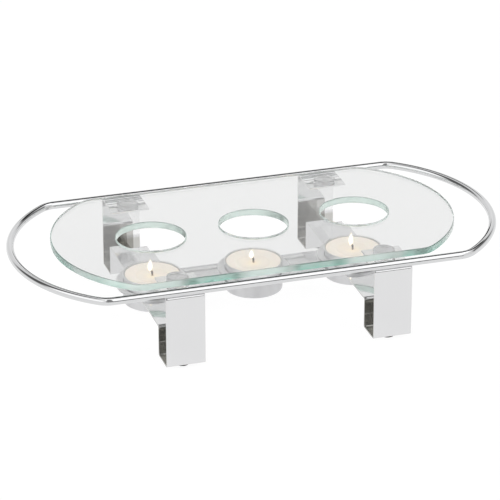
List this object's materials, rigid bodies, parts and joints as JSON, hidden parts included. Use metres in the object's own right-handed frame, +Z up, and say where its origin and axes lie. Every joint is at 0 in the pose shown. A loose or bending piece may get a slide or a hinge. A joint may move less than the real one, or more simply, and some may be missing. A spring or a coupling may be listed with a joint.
{
  "type": "food warmer",
  "caption": "Tealight food warmer: a clear oval glass plate with round holes over the flames, on bent polished strip legs, inside a closed rod rail with end handles.",
  "frame": {"origin": "centre of the bounding box on the table top under the feet", "axes": "+X along the row of tealights to the right, +Y from front to back, +Z up"},
  "size_m": [0.319, 0.1572, 0.0575],
  "materials": {
    "clear_glass": "clear toughened glass, ground edges with a green tint",
    "chromed_rod": "mirror polished",
    "polished_strip": "stainless strip, mirror polished",
    "satin_cup": "satin pressed steel",
    "clear_silicone": "clear soft silicone",
    "dark_rubber": "matt dark rubber",
    "tealight_aluminium": "thin bright foil",
    "white_wax": "soft white paraffin wax",
    "cotton_wick": "charred braided cotton",
    "tinned_clip": "tinned sheet"
  },
  "bodies": {
    "frame": {"rail": "chromed_rod", "link_left": "polished_strip", "link_right": "polished_strip", "leg_front_left": "polished_strip", "leg_back_left": "polished_strip", "leg_front_right": "polished_strip", "leg_back_right": "polished_strip", "pad_front_left": "clear_silicone", "pad_back_left": "clear_silicone", "pad_front_right": "clear_silicone", "pad_back_right": "clear_silicone", "foot_front_left": "dark_rubber", "foot_back_left": "dark_rubber", "foot_front_right": "dark_rubber", "foot_back_right": "dark_rubber", "cup_left": "satin_cup", "cup_middle": "satin_cup", "cup_right": "satin_cup"},
    "glass": {"glass_plate": "clear_glass"},
    "tealight_left": {"shell_left": "tealight_aluminium", "wax_left": "white_wax", "wick_left": "cotton_wick", "wick_clip_left": "tinned_clip"},
    "tealight_middle": {"shell_middle": "tealight_aluminium", "wax_middle": "white_wax", "wick_middle": "cotton_wick", "wick_clip_middle": "tinned_clip"},
    "tealight_right": {"shell_right": "tealight_aluminium", "wax_right": "white_wax", "wick_right": "cotton_wick", "wick_clip_right": "tinned_clip"}
  },
  "joints": [
    {"name": "glass_lift", "type": "slide", "parent": "frame", "child": "glass", "axis": [0, 0, 1], "range_m": [0, 0.06]},
    {"name": "tealight_left_lift", "type": "slide", "parent": "frame", "child": "tealight_left", "axis": [0, 0, 1], "range_m": [0, 0.07]},
    {"name": "tealight_middle_lift", "type": "slide", "parent": "frame", "child": "tealight_middle", "axis": [0, 0, 1], "range_m": [0, 0.07]},
    {"name": "tealight_right_lift", "type": "slide", "parent": "frame", "child": "tealight_right", "axis": [0, 0, 1], "range_m": [0, 0.07]}
  ]
}
